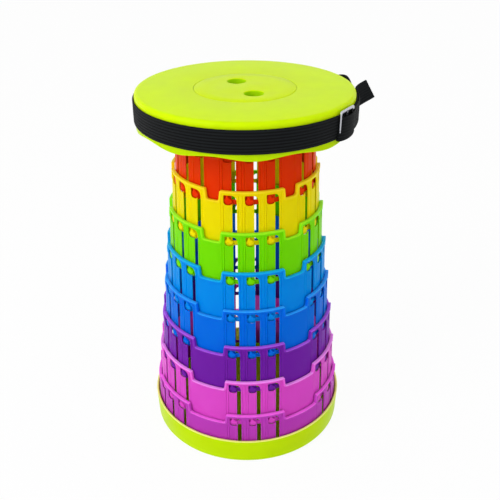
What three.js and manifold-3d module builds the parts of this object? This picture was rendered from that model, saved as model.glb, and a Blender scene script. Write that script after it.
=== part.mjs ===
import * as THREE from 'three';
import { mergeVertices, mergeGeometries } from 'three/addons/utils/BufferGeometryUtils.js';
import Module from 'manifold-3d';

// Collapsible telescopic stool in millimetres, +Z up, standing on z = 0 with its axis on Z.
// A seat on a narrow ring, eight nested rings that grow downwards, and a round base.
// Angles run round the axis from the front (-Y) towards +X.

const wasm = await Module();
wasm.setup();

const fullTurn = 2 * Math.PI;
const degree = Math.PI / 180;

// Stool as a whole
const stoolHeight = 450;
const seatRadius = 125;
const baseRadius = 126;
const groupTurn = 5.05 * degree; // the raised groups of every ring stand this far round from the front
const groupCount = 6;
const fitGap = 0.3; // between pieces that are fixed to each other
const overrun = 1; // how far a cutter reaches past what it cuts
const weld = 0.0001;

// Rings, from the narrow one under the seat to the wide one in the base
const ringNames = [
  'red_ring', 'yellow_ring', 'green_ring', 'sky_ring', 'blue_ring', 'purple_ring', 'pink_ring', 'violet_ring',
];
const rimStep = 5.5; // growth of the rim radius from ring to ring
const wallFlare = 1.9; // a ring's wall is this much wider at its lower edge than at its rim
const ringGap = 1; // between the lowest ring's lower edge and the base's wall
const skinThickness = 1.3; // wall below the guide lip
const ringClearance = 0.6; // between a ring's lower edge and the guide lip round it
const flatWidth = 25; // widest flat across a notch
const groupGap = 12.2; // between two raised groups of the narrowest nested ring, at the rim
const notchDepth = 12.8;
const notchLean = 1.5; // how far a notch's side leans in on its way down
const beadProud = 1.1;
const beadHeight = 3;
const beadSide = 2.6;

// Windows of a raised group: a pocket with a round floor, open to a long slot beside it
const baySpacing = 24.4; // a raised group has as many windows as fit
const pocketPlace = -4;
const pocketWidth = 9.4;
const pocketFloor = 16.6; // from the rim down
const pocketRoundShare = 0.55; // flat part of a pocket's floor, of its width
const hornRise = 1.8; // the floor rises this much towards the slot
const slotPlace = 4;
const slotWidth = 5;
const windowDrop = 4.8; // from the rim down to the window
const lipDepth = 3.8; // over which the guide lip stands in from the wall
const windowAcross = 4.8; // corner over the slot
const windowDown = 6.4;
const barHeight = 5.6; // closed bar below the slots

// Pegs on a ring's lower edge, which hang in the pockets of the next ring
const pegRadius = 3.9;
const pegLift = 0.2; // from the ring's lower edge to the peg's
const pegHang = 0.1; // from a pocket's floor up to the lower edge of the ring whose peg hangs there
const finRise = 11; // from the ring's lower edge to the tip of the fin over a peg
const finShift = 1.2; // how far the tip stands to the left of the peg's middle
const pegClearance = 0.4; // to the skin that a peg slides down behind

// Seat
const seatEdge = 5;
const seatPlate = 3;
const seatWall = 2.6;
const skirtDepth = 39;
const skirtWave = 2;
const lobeCount = 9;
const lobeTurn = 4.2 * degree;
const seatColumns = 36;
const ribCount = 6;
const ribThickness = 1.6;
const ribDepth = 10;
const ribClearance = 0.7; // from a rib's end to the upper ring

// Cap in the middle of the seat, and the finger cup under it
const capInset = 5.3; // from the seat's screw bosses in to the cap
const capPlate = 2.1;
const collarDepth = 7;
const collarWall = 2;
const fingerRadius = 11.2;
const fingerTurn = 21.2 * degree;
const fingerSides = 12;
const cupDepth = 20;
const cupWall = 2;
const ledgeRoot = 0.5; // how far the cup's wall stands out past the cap's opening

// Upper ring, fixed under the seat by screws through its tabs
const upperHeight = 56.1;
const upperWall = 2.2;
const tabWidth = 11;
const tabThickness = 3;
const bossHeight = 7.7;
const bossRadius = 4;
const bossSides = 6;
const screwInset = 10.1; // from the upper ring's rim radius in to the seat screws
const screwHole = 1.7;
const seatScrew = { shank: 1.3, head: 2.7, headHeight: 1.6, length: 9 };
const screwSides = 6;
const jointDepth = 0.5; // how deep a boss, rib or strut runs into the wall that carries it

// Base
const baseTop = 34.2;
const baseWall = 2.6;
const baseColumns = 42;
const lipRound = 0.8;
const footBevel = 1.2;
const undersideLift = 1.5; // the feet hold the underside this far off the floor
const strutDepth = 2.6;
const floorPlate = 3;
const hubRadius = 14;
const hubSides = 12;
const strutThickness = 2;
const baseScrew = { shank: 1, head: 2.3, headHeight: 1.6, length: 10.2 };
const baseScrewHole = 1.4;
const lugReach = 3.7; // how far a screw lug stands in from the lowest ring's skin
const lugInset = 2; // from the lug's inner face to the screw's axis
const lugWidth = 14;
const lugHeight = 9;
const lugHoleDepth = 7.6;

// Non-slip feet
const footRadius = 11;
const footInset = 28; // from the base's edge in to a foot's middle
const footSides = 10;
const footRim = 1.4; // how far the boss over a foot stands out round it

// Carrying strap round the seat
const strapDrop = 7; // from the seat's top down to the webbing
const strapWidth = 26;
const strapThickness = 1.8;
const strapColumns = 54;
const slackTurn = 104 * degree; // where the band stands off the wall
const slackSpread = 7 * degree;
const slackOut = 6.5;
const slackUp = 8;

// Slide buckle and the webbing's end that is folded over its bars
const buckleTurn = 57 * degree;
const buckleLength = 31;
const buckleBar = 3;
const buckleSide = 2.4;
const bucklePlate = 1.8;
const buckleSlack = 0.7; // room above and below the webbing
const buckleGap = 0.5;
const foldLift = 7.6;
const foldShares = [ // along the buckle's half length, and of the lift off the band
  [-0.55, 0], [-0.56, 0.35], [-0.5, 0.72], [-0.25, 0.95], [0.1, 1], [0.6, 0.96], [1.02, 0.72], [1.3, 0.42],
];
const tailGap = 0.4;
const tailTurns = [71 * degree, 77 * degree, 83 * degree, 89 * degree];
const tailRoot = { turn: 96 * degree, off: 3.6, rise: 3.5, lean: new THREE.Vector3(0.14, 0.1, -0.98) };
const tailEnd = { turn: 100.5 * degree, off: 21.2, rise: 11.5, lean: new THREE.Vector3(0.42, 0.2, -0.88) };

const colours = {
  lime: 0xb4e000, cap: 0xbfe800, red_ring: 0xe23a0c, yellow_ring: 0xf2d200, green_ring: 0x6edc00,
  sky_ring: 0x0088ea, blue_ring: 0x0060e0, purple_ring: 0x64209a, pink_ring: 0xdc4ccc, violet_ring: 0xb03ab4,
  webbing: 0x16171b, metal: 0xb8b9bf, steel: 0x9a9ca2, rubber: 0x2a2a2c,
};

// Sizes that follow from the ones above
const groupStep = fullTurn / groupCount;
const notchTurn = groupTurn + groupStep / 2;
const lowest = ringNames.length - 1;
const platePlace = undersideLift + strutDepth;
const baseFloor = platePlace + floorPlate;
const ringFoot = baseFloor + fitGap;
const stageTravel = (stoolHeight - seatPlate - fitGap - upperHeight - ringFoot) / ringNames.length;
const ringHeight = stageTravel + pocketFloor - pegHang;
const widestRim = baseRadius - baseWall - ringGap - wallFlare + beadProud;
const groupWidth = rimRadius(0) * groupStep - groupGap;
const bayCount = Math.floor(groupWidth / baySpacing);
const bayShifts = Array.from({ length: bayCount }, (_, i) => i - (bayCount - 1) / 2);
const widestBay = groupWidth / 2 - (bayCount / 2 - 1) * baySpacing;
const pocketLeft = pocketPlace - pocketWidth / 2;
const slotLeft = slotPlace - slotWidth / 2;
const slotRight = slotPlace + slotWidth / 2;
const lugFace = skinRadius(widestRim, ringHeight) - lugReach;
const baseScrewPlace = lugFace + lugInset;
const footPlace = baseRadius - footInset;
const screwPlace = rimRadius(-1) - screwInset;
const capRadius = screwPlace - bossRadius - capInset;
const capOpening = capRadius + fitGap;
const cupRadius = capRadius - collarWall - fitGap;
const collarRadius = cupRadius - fitGap;
const fingerPlace = (collarRadius - collarWall) / 2;
const tabDrop = seatPlate + bossHeight + fitGap;
const stripWay = seatRadius + fitGap + strapThickness / 2;
const stripLevel = stoolHeight - strapDrop - strapWidth / 2;

function rimRadius(level) {
  return widestRim - (lowest - level) * rimStep;
}

function ringBottom(level) {
  return ringFoot + (lowest - level) * stageTravel;
}

function wallRadius(rim, depth) {
  return rim - beadProud + (wallFlare * depth) / ringHeight;
}

function skinRadius(rim, depth) {
  return wallRadius(rim, depth) - skinThickness;
}

function bandRadius(rim) {
  return wallRadius(rim - rimStep, ringHeight) + ringClearance;
}

// A closed three.js geometry as a solid, with its faces turned outwards
function solid(geometry) {
  const bare = geometry.clone();
  bare.deleteAttribute('normal');
  bare.deleteAttribute('uv');
  const merged = mergeVertices(bare, weld);
  const place = merged.attributes.position;
  const corners = [];
  let volume = 0;
  const [a, b, c] = [new THREE.Vector3(), new THREE.Vector3(), new THREE.Vector3()];
  for (let i = 0; i < merged.index.count; i += 3) {
    const tri = [merged.index.getX(i), merged.index.getX(i + 1), merged.index.getX(i + 2)];
    if (tri[0] === tri[1] || tri[1] === tri[2] || tri[2] === tri[0]) continue;
    corners.push(...tri);
    a.fromBufferAttribute(place, tri[0]);
    b.fromBufferAttribute(place, tri[1]);
    c.fromBufferAttribute(place, tri[2]);
    volume += a.dot(b.cross(c));
  }
  if (volume < 0) corners.reverse();
  return new wasm.Manifold(new wasm.Mesh({
    numProp: 3, vertProperties: new Float32Array(place.array), triVerts: new Uint32Array(corners),
  }));
}

function together(geometries) {
  return solid(mergeGeometries(geometries.map((g) => (g.index ? g.toNonIndexed() : g))));
}

// A closed skin over columns of [angle, radius, height] points, all with as many rows
function wrapped(columns) {
  const rows = [...columns[0], columns[0][0]].map(([, r, z]) => new THREE.Vector2(r, z));
  const lathe = new THREE.LatheGeometry(rows, columns.length);
  const place = lathe.attributes.position;
  for (let i = 0; i <= columns.length; i++) {
    const column = columns[i % columns.length];
    rows.forEach((_, row) => {
      const [angle, r, z] = column[row % column.length];
      place.setXYZ(i * rows.length + row, r * Math.sin(angle), -r * Math.cos(angle), z);
    });
  }
  return solid(lathe);
}

// A closed profile of [radius, height] pairs turned round the axis
function turned(profile, angles, lift = () => 0) {
  return wrapped(angles.map((angle) => profile.map(([r, z]) => [angle, r, z + lift(angle, z)])));
}

function evenly(count, start = 0) {
  return Array.from({ length: count }, (_, i) => start + (i * fullTurn) / count);
}

// An outline across the radius, [across, up], drawn out from the inner to the outer radius
function radial(outline, inner, outer, angle) {
  const shape = new THREE.Shape(outline.map(([x, y]) => new THREE.Vector2(x, y)));
  const block = new THREE.ExtrudeGeometry(shape, { depth: outer - inner, bevelEnabled: false });
  return block.translate(0, 0, inner).rotateX(Math.PI / 2).rotateZ(angle);
}

function box(left, right, bottom, top) {
  return [[left, bottom], [right, bottom], [right, top], [left, top]];
}

function post(radius, bottom, top, place, angle, sides) {
  const rod = new THREE.CylinderGeometry(radius, radius, top - bottom, sides);
  rod.rotateX(Math.PI / 2).translate(0, -place, (bottom + top) / 2);
  return rod.rotateZ(angle);
}

function atGroups(make, start = groupTurn) {
  return evenly(groupCount, start).map((angle, index) => make(angle, index));
}

// Columns of a ring's wall: at a raised group's edges, between its bays and across the notch beside it.
// Each has its angle, how far the rim is down there, how far the bead and lip turn in from it, and the
// bay that starts there.
function ringColumns(rim) {
  const edge = groupWidth / 2;
  const corner = edge + notchLean;
  const gap = rim * groupStep - 2 * corner;
  const steps = Math.ceil(gap / flatWidth);
  const places = [
    [-corner, notchDepth, beadSide],
    ...bayShifts.map((shift, i) => (i ? [(shift - 1 / 2) * baySpacing, 0, 0, shift] : [-edge, 0, beadSide, shift])),
    [edge, 0, -beadSide],
    [corner, notchDepth, -beadSide],
  ];
  for (let i = 1; i < steps; i++) places.push([corner + (gap * i) / steps, notchDepth, 0]);
  return atGroups((angle) => places.map(([place, drop, side, shift]) => (
    { angle: angle + place / rim, drop, side: side / rim, middle: angle, shift }
  ))).flat();
}

// A radius at the middle of a bay's flat, seen from its edges
function atFlat(radius, rim) {
  return radius * Math.cos(widestBay / 2 / rim);
}

// A pocket with a round floor, and beside it a slot with a round top corner
function windowOutline() {
  const top = ringHeight - windowDrop;
  const floor = ringHeight - pocketFloor;
  const flatHalf = (pocketWidth * pocketRoundShare) / 2;
  const side = floor + pocketWidth / 2 - flatHalf / 2;
  return [
    [pocketLeft, top], [pocketLeft, side], [pocketPlace - flatHalf, floor], [pocketPlace + flatHalf, floor],
    [slotLeft, floor + hornRise], [slotLeft, barHeight], [slotRight, barHeight], [slotRight, top - windowDown],
    [slotRight - windowAcross, top],
  ];
}

// Points of an outline, [across, up], laid on a flat seen along the radius at an angle
function laidOn(flat, outline, angle) {
  const outwards = onWall(angle, 1, 0);
  const sideways = onWall(angle + fullTurn / 4, 1, 0);
  const plane = new THREE.Plane().setFromCoplanarPoints(...flat.slice(1));
  return outline.map(([across, up]) => {
    const point = sideways.clone().multiplyScalar(across).setZ(up);
    return point.addScaledVector(outwards, -plane.distanceToPoint(point) / plane.normal.dot(outwards));
  });
}

// Triangles of a flat around the holes in it, or of the flat alone
function pierced(flat, holes, angle) {
  const sideways = onWall(angle + fullTurn / 4, 1, 0);
  const onFlat = (point) => new THREE.Vector2(point.dot(sideways), point.z);
  const facing = flat[1].clone().sub(flat[0]).cross(flat[2].clone().sub(flat[1]));
  const points = [flat, ...holes].flat();
  return THREE.ShapeUtils.triangulateShape(flat.map(onFlat), holes.map((hole) => hole.map(onFlat))).flatMap((tri) => {
    const [a, b, c] = tri.map((i) => points[i]);
    return b.clone().sub(a).cross(c.clone().sub(a)).dot(facing) > 0 ? [a, b, c] : [c, b, a];
  });
}

function quad(a, b, c, d) {
  return [a, b, c, a, c, d];
}

// Quads between two loops of points
function sleeve(near, far) {
  return near.flatMap((point, i) => {
    const j = (i + 1) % near.length;
    return quad(point, near[j], far[j], far[i]);
  });
}

// Drop-shaped peg, a point below and a fin above
function pegOutline(bottom) {
  return [
    [0, bottom + pegLift], [pegRadius, bottom + pegLift + pegRadius], [-finShift, bottom + finRise],
    [-pegRadius, bottom + pegLift + pegRadius],
  ];
}

function pegAngle(rim, middle, shift) {
  return middle + (shift * baySpacing + pocketPlace) / (rim + rimStep);
}

// Pegs stand off the wall as far as the next ring's skin lets them slide down behind it
function pegReach(rim) {
  return atFlat(skinRadius(rim + rimStep, pocketFloor), rim + rimStep) - pegClearance;
}

function peg(rim, flat, angle, bottom) {
  const outline = pegOutline(bottom);
  const root = laidOn(flat, outline, angle);
  const reach = onWall(angle, pegReach(rim), 0);
  const sideways = onWall(angle + fullTurn / 4, 1, 0);
  const face = outline.map(([across, up]) => reach.clone().addScaledVector(sideways, across).setZ(up));
  return { root, skin: [...sleeve(root, face), ...pierced(face, [], angle)] };
}

// The wall's rows go from the lip over the bead and down outside, and back up inside
const outerRow = 3;
const innerRow = 5;

function ringRows(rim, { angle, drop, side }) {
  const top = ringHeight - drop;
  const beadLow = top - beadHeight;
  const lipLow = top - lipDepth;
  return [
    onWall(angle, bandRadius(rim), top), onWall(angle, rim, top), onWall(angle + side, rim, beadLow),
    onWall(angle + side, wallRadius(rim, ringHeight - beadLow), beadLow),
    onWall(angle + side, wallRadius(rim, ringHeight), 0), onWall(angle + side, skinRadius(rim, ringHeight), 0),
    onWall(angle + side, skinRadius(rim, ringHeight - lipLow), lipLow),
  ];
}

// A ring's wall: a bead runs outside along the tops, down the sides and along the notch floors, and a
// lip inside. Each bay's flat has its window, and over the lower edge the peg for the next ring.
function ringWall(rim, pegged) {
  const columns = ringColumns(rim);
  const rows = columns.map((column) => ringRows(rim, column));
  const corners = columns.flatMap(({ middle, shift }, i) => {
    const [here, next] = [rows[i], rows[(i + 1) % rows.length]];
    const flats = here.map((_, row) => {
      const over = (row + 1) % here.length;
      return [here[row], here[over], next[over], next[row]];
    });
    if (shift === undefined) return flats.flatMap((flat) => quad(...flat));
    const angle = middle + (shift * baySpacing) / rim;
    const [outside, inside] = [outerRow, innerRow].map((row) => laidOn(flats[row], windowOutline(), angle));
    const { root, skin } = pegged ? peg(rim, flats[outerRow], pegAngle(rim, middle, shift), 0) : { root: [], skin: [] };
    return [
      ...flats.flatMap((flat, row) => {
        if (row === outerRow) return pierced(flat, pegged ? [outside, root] : [outside], angle);
        return row === innerRow ? pierced(flat, [inside], angle) : quad(...flat);
      }),
      ...sleeve(outside, inside), ...skin,
    ];
  });
  return solid(new THREE.BufferGeometry().setFromPoints(corners));
}

function nestedRing(level) {
  const wall = ringWall(rimRadius(level), level < lowest);
  return level < lowest ? wall : wall.add(screwLugs()).subtract(lugHoles());
}

function screwLugs() {
  const outer = skinRadius(widestRim, ringHeight) + skinThickness / 4;
  const outline = box(-lugWidth / 2, lugWidth / 2, 0, lugHeight);
  return together(atGroups((angle) => radial(outline, lugFace, outer, angle), notchTurn));
}

function lugHoles() {
  const hole = (angle) => post(baseScrewHole, -overrun, lugHoleDepth, baseScrewPlace, angle, screwSides);
  return together(atGroups(hole, notchTurn));
}

// Pegs of a plain wall
function pegs(rim, bottom) {
  const root = atFlat(wallRadius(rim, ringHeight), rim) - skinThickness / 2;
  return together(atGroups((angle) => bayShifts.map((shift) => (
    radial(pegOutline(bottom), root, pegReach(rim), pegAngle(rim, angle, shift))
  ))).flat());
}

// The upper ring's heights are measured down from the seat's top
function upperRing() {
  const rim = rimRadius(-1);
  const top = -seatPlate - fitGap;
  const bottom = top - upperHeight;
  const outer = (height) => wallRadius(rim, ringHeight - (height - bottom));
  const angles = ringColumns(rim).filter(({ drop }) => drop === 0).map(({ angle }) => angle);
  let ring = turned([
    [outer(top) - upperWall, top], [outer(top), top], [outer(bottom), bottom], [outer(bottom) - upperWall, bottom],
  ], angles);
  const tab = box(-tabWidth / 2, tabWidth / 2, -tabDrop - tabThickness, -tabDrop);
  const inner = screwPlace - bossRadius;
  ring = ring.add(together(atGroups((angle) => radial(tab, inner, outer(top) - upperWall / 2, angle), notchTurn)));
  const hole = (angle) => (
    post(screwHole, -tabDrop - tabThickness - overrun, -tabDrop + overrun, screwPlace, angle, screwSides)
  );
  return ring.subtract(together(atGroups(hole, notchTurn))).add(pegs(rim, bottom));
}

// The plate, its skirt with a waved edge, and the finger cup in the middle are one moulding
function seatShell() {
  const corner = seatEdge * (1 - Math.SQRT1_2);
  const inside = seatRadius - seatWall;
  const wave = (angle, z) => (z === -skirtDepth ? -skirtWave * Math.cos(lobeCount * (angle - lobeTurn)) : 0);
  const ledge = -capPlate - fitGap;
  const cupOuter = cupRadius + cupWall;
  const shell = turned([
    [0, -cupDepth], [cupRadius, -cupDepth], [cupRadius, ledge], [capOpening, ledge], [capOpening, 0],
    [seatRadius - seatEdge, 0], [seatRadius - corner, -corner], [seatRadius, -seatEdge],
    [seatRadius, -skirtDepth], [inside, -skirtDepth], [inside, -seatPlate], [capOpening + ledgeRoot, -seatPlate],
    [cupOuter, -cupDepth - cupWall], [0, -cupDepth - cupWall],
  ], evenly(seatColumns, lobeTurn), wave);
  const root = jointDepth - seatPlate;
  const boss = (angle) => post(bossRadius, -seatPlate - bossHeight, root, screwPlace, angle, bossSides);
  const pilot = (angle) => (
    post(screwHole, -seatPlate - bossHeight - overrun, -seatPlate, screwPlace, angle, screwSides)
  );
  const ribEnd = wallRadius(rimRadius(-1), 0) - upperWall - ribClearance;
  const ribOutline = box(-ribThickness / 2, ribThickness / 2, -seatPlate - ribDepth, root);
  const ribs = evenly(ribCount, groupTurn).map((angle) => (
    radial(ribOutline, cupOuter - jointDepth, ribEnd, angle)
  ));
  return shell.add(together(atGroups(boss, notchTurn))).add(together(ribs))
    .subtract(together(atGroups(pilot, notchTurn)));
}

function centreCap() {
  const disc = turned([
    [0, 0], [capRadius, 0], [capRadius, -capPlate], [collarRadius, -capPlate], [collarRadius, -collarDepth],
    [collarRadius - collarWall, -collarDepth], [collarRadius - collarWall, -capPlate], [0, -capPlate],
  ], evenly(seatColumns, lobeTurn));
  const holes = [fingerTurn, fingerTurn + fullTurn / 2].map((angle) => (
    post(fingerRadius, -capPlate - overrun, overrun, fingerPlace, angle, fingerSides)
  ));
  return disc.subtract(together(holes));
}

// A tray with a wall round it, carried by struts over the feet
function stoolBase() {
  const inside = baseRadius - baseWall;
  let tray = turned([
    [0, platePlace], [inside, platePlace], [inside, undersideLift], [baseRadius - footBevel, undersideLift],
    [baseRadius, undersideLift + footBevel], [baseRadius, baseTop - lipRound], [baseRadius - lipRound, baseTop],
    [inside, baseTop], [inside, baseFloor], [0, baseFloor],
  ], evenly(baseColumns, groupTurn));
  const root = platePlace + jointDepth;
  const strut = box(-strutThickness / 2, strutThickness / 2, undersideLift, root);
  const boss = (angle) => post(footRadius + footRim, undersideLift, root, footPlace, angle, footSides);
  const hole = (angle) => (
    post(baseScrewHole, platePlace - overrun, baseFloor + overrun, baseScrewPlace, angle, screwSides)
  );
  tray = tray.add(solid(post(hubRadius, undersideLift, root, 0, 0, hubSides)));
  tray = tray.add(together(atGroups((angle) => radial(strut, hubRadius / 2, inside + jointDepth, angle))));
  return tray.add(together(atGroups(boss))).subtract(together(atGroups(hole, notchTurn)));
}

// A pan-head screw, head down, with the head's upper face at z = 0
function screw({ shank, head, headHeight, length }) {
  return turned([
    [0, -headHeight], [head, -headHeight], [head, 0], [shank, 0], [shank, length - shank], [0, length],
  ], evenly(screwSides));
}

// A strip with a flat section, from stations that give its middle, its thickness way and its width way
function ribbon(stations, closed) {
  const place = [];
  const corners = [];
  for (const { middle, across, lean } of stations) {
    for (const [side, end] of [[1, 1], [1, -1], [-1, -1], [-1, 1]]) {
      const corner = middle.clone().addScaledVector(across, (side * strapThickness) / 2);
      place.push(...corner.addScaledVector(lean, (end * strapWidth) / 2).toArray());
    }
  }
  const count = stations.length;
  for (let i = 0; i < (closed ? count : count - 1); i++) {
    const here = 4 * i;
    const next = 4 * ((i + 1) % count);
    for (let k = 0; k < 4; k++) {
      const turn = (k + 1) % 4;
      corners.push(here + k, here + turn, next + k, here + turn, next + turn, next + k);
    }
  }
  const end = 4 * (count - 1);
  if (!closed) corners.push(0, 2, 1, 0, 3, 2, end, end + 1, end + 2, end, end + 2, end + 3);
  const geometry = new THREE.BufferGeometry();
  geometry.setAttribute('position', new THREE.Float32BufferAttribute(place, 3));
  geometry.setIndex(corners);
  return solid(geometry);
}

function onWall(angle, radius, height) {
  return new THREE.Vector3(radius * Math.sin(angle), -radius * Math.cos(angle), height);
}

const down = new THREE.Vector3(0, 0, -1);

// The band lies on the seat's wall and stands off it where the webbing is slack
function strapBand() {
  const stations = evenly(strapColumns).map((angle) => {
    const slack = Math.exp(-(((angle - slackTurn) / slackSpread) ** 2));
    return {
      middle: onWall(angle, stripWay + slackOut * slack, stripLevel + slackUp * slack),
      across: onWall(angle, 1, 0),
      lean: down,
    };
  });
  return ribbon(stations, true);
}

// The webbing's end comes up through the buckle, over its bars, along the band and off the wall
function strapEnd() {
  const path = foldShares.map(([along, lift]) => ({
    middle: onWall(buckleTurn + (along * buckleLength) / 2 / stripWay, stripWay + foldLift * lift, stripLevel),
    lean: down,
  }));
  const second = stripWay + strapThickness + tailGap;
  for (const angle of tailTurns) path.push({ middle: onWall(angle, second, stripLevel), lean: down });
  for (const { turn, off, rise, lean } of [tailRoot, tailEnd]) {
    path.push({ middle: onWall(turn, stripWay + off, stripLevel + rise), lean: lean.clone().normalize() });
  }
  const stations = path.map(({ middle, lean }, i) => {
    const before = path[Math.max(i - 1, 0)].middle;
    const after = path[Math.min(i + 1, path.length - 1)].middle;
    const way = after.clone().sub(before);
    return { middle, lean, across: way.cross(lean).normalize() };
  });
  return ribbon(stations, false);
}

function slideBuckle() {
  const halfLength = buckleLength / 2;
  const opening = strapWidth / 2 + buckleSlack;
  const halfHeight = opening + buckleSide;
  const frame = [
    [-halfLength, buckleSide - halfHeight], [buckleSide - halfLength, -halfHeight],
    [halfLength - buckleSide, -halfHeight], [halfLength, buckleSide - halfHeight],
    [halfLength, halfHeight - buckleSide], [halfLength - buckleSide, halfHeight],
    [buckleSide - halfLength, halfHeight], [-halfLength, halfHeight - buckleSide],
  ];
  const inner = stripWay + strapThickness / 2 + buckleGap;
  const outer = inner + bucklePlate;
  const bars = [-1, 1].map((side) => {
    const near = (side * buckleBar) / 2;
    const far = side * (halfLength - buckleBar);
    const gap = box(Math.min(near, far), Math.max(near, far), -opening, opening);
    return radial(gap, inner - overrun, outer + overrun, buckleTurn);
  });
  return solid(radial(frame, inner, outer, buckleTurn)).subtract(together(bars));
}

function piece(name, body, colour, { roughness = 0.42, metalness = 0 } = {}) {
  const mesh = body.getMesh();
  const geometry = new THREE.BufferGeometry();
  geometry.setAttribute('position', new THREE.BufferAttribute(mesh.vertProperties, 3));
  geometry.setIndex(new THREE.BufferAttribute(mesh.triVerts, 1));
  geometry.computeVertexNormals();
  const part = new THREE.Mesh(geometry, new THREE.MeshStandardMaterial({ color: colour, roughness, metalness }));
  part.name = name;
  return part;
}

const stool = new THREE.Group();

const seat = new THREE.Group();
seat.position.z = stoolHeight;
seat.add(piece('seat_shell', seatShell(), colours.lime));
seat.add(piece('centre_cap', centreCap(), colours.cap));
seat.add(piece('upper_ring', upperRing(), colours.red_ring));
const steel = { roughness: 0.35, metalness: 1 };
atGroups((angle, index) => {
  const part = piece(`seat_screw_${index + 1}`, screw(seatScrew), colours.steel, steel);
  part.position.copy(onWall(angle, screwPlace, -tabDrop - tabThickness - fitGap));
  seat.add(part);
}, notchTurn);
stool.add(seat);

const strap = new THREE.Group();
strap.add(piece('strap', strapBand().add(strapEnd()), colours.webbing, { roughness: 0.9 }));
strap.add(piece('buckle', slideBuckle(), colours.metal, { roughness: 0.3, metalness: 1 }));
strap.children[1].position.z = stripLevel;
stool.add(strap);

ringNames.forEach((name, level) => {
  const ring = piece(name, nestedRing(level), colours[name]);
  ring.position.z = ringBottom(level);
  stool.add(ring);
});

const foundation = new THREE.Group();
foundation.add(piece('base', stoolBase(), colours.lime));
atGroups((angle, index) => {
  const part = piece(`base_screw_${index + 1}`, screw(baseScrew), colours.steel, steel);
  part.position.copy(onWall(angle, baseScrewPlace, platePlace - fitGap));
  foundation.add(part);
}, notchTurn);
atGroups((angle, index) => {
  const pad = solid(post(footRadius, 0, undersideLift - fitGap, 0, 0, footSides));
  const part = piece(`foot_${index + 1}`, pad, colours.rubber, { roughness: 0.85 });
  part.position.copy(onWall(angle, footPlace, 0));
  foundation.add(part);
});
stool.add(foundation);

export default stool;
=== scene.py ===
import math

import bmesh
import bpy
from mathutils import Matrix, Vector
from mathutils.geometry import delaunay_2d_cdt


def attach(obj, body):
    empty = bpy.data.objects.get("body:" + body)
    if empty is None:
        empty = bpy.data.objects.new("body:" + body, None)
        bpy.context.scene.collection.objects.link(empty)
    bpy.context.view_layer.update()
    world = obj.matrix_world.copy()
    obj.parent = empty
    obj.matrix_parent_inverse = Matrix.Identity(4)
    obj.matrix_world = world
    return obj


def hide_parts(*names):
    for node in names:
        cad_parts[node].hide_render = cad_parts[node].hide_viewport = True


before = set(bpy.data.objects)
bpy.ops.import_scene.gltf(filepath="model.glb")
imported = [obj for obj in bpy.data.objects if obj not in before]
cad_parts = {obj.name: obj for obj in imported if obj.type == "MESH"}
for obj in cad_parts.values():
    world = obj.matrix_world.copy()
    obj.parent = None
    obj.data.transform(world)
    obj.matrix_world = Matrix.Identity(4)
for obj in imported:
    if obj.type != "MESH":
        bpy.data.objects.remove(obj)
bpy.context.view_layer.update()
print("frame loaded:", len(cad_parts), "nodes")

mm = 0.001
weldGap = 0.002 * mm
skinGap = 1e-6  # points nearer than this are one point of a skin
fullTurn = 2 * math.pi
groupTurn = math.radians(5.05)  # the raised groups stand this far round from the front
groupCount = 6
ringNames = ["red", "yellow", "green", "sky", "blue", "purple", "pink", "violet"]
white = (1, 1, 1, 1)
facetShare = 0.3  # the two facets of a small round edge meet this share in from its corner


# Camera, fitted to the photograph's view

camera = {
    "place": (0.0009, -0.7963, 0.6769),
    "lens": 51.49,
    "sensor": 36,
    "pitch": math.radians(28.754),
    "yaw": math.radians(0.28),
    "roll": math.radians(-0.238),
}


def makeCamera():
    lens = bpy.data.cameras.new("camera")
    lens.lens = camera["lens"]
    lens.sensor_width = camera["sensor"]
    holder = bpy.data.objects.new("camera", lens)
    bpy.context.scene.collection.objects.link(holder)
    pitch, yaw, roll = camera["pitch"], camera["yaw"], camera["roll"]
    ahead = Vector((math.sin(yaw) * math.cos(pitch), math.cos(yaw) * math.cos(pitch), -math.sin(pitch)))
    level = Vector((math.cos(yaw), -math.sin(yaw), 0))
    above = level.cross(ahead)
    right = math.cos(roll) * level + math.sin(roll) * above
    up = math.cos(roll) * above - math.sin(roll) * level
    turn = Matrix((right, up, -ahead)).transposed()
    holder.matrix_world = Matrix.Translation(camera["place"]) @ turn.to_4x4()
    bpy.context.scene.camera = holder


makeCamera()
print("camera placed")


# Nodes of a material

def newMaterial(name):
    finish = bpy.data.materials.new(name)
    finish.use_nodes = True
    shader = finish.node_tree.nodes["Principled BSDF"]
    return finish, finish.node_tree, shader


def setSockets(node, sockets):
    for key, value in sockets.items():
        node.inputs[key].default_value = value


def addNode(tree, kind, sockets=None, **settings):
    node = tree.nodes.new(kind)
    for key, value in settings.items():
        setattr(node, key, value)
    setSockets(node, sockets or {})
    return node


def addNoise(tree, spot, scale, detail, rough=0.5):
    noise = addNode(tree, "ShaderNodeTexNoise", {"Scale": scale, "Detail": detail, "Roughness": rough})
    tree.links.new(spot, noise.inputs["Vector"])
    return noise.outputs["Fac"]


def addTone(tree, shader, factor, tones, places=(0.3, 0.7)):
    node = addNode(tree, "ShaderNodeValToRGB")
    tree.links.new(factor, node.inputs["Fac"])
    for stop, place, tone in zip(node.color_ramp.elements, places, tones):
        stop.position, stop.color = place, tone
    tree.links.new(node.outputs["Color"], shader.inputs["Base Color"])


def addGloss(tree, shader, factor, rough):
    gloss = addNode(tree, "ShaderNodeMapRange", {"To Min": rough[0], "To Max": rough[1]})
    tree.links.new(factor, gloss.inputs["Value"])
    tree.links.new(gloss.outputs["Result"], shader.inputs["Roughness"])


def addBump(tree, shader, height, strength, depth):
    bump = addNode(tree, "ShaderNodeBump", {"Strength": strength, "Distance": depth})
    tree.links.new(height, bump.inputs["Height"])
    tree.links.new(bump.outputs["Normal"], shader.inputs["Normal"])


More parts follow.
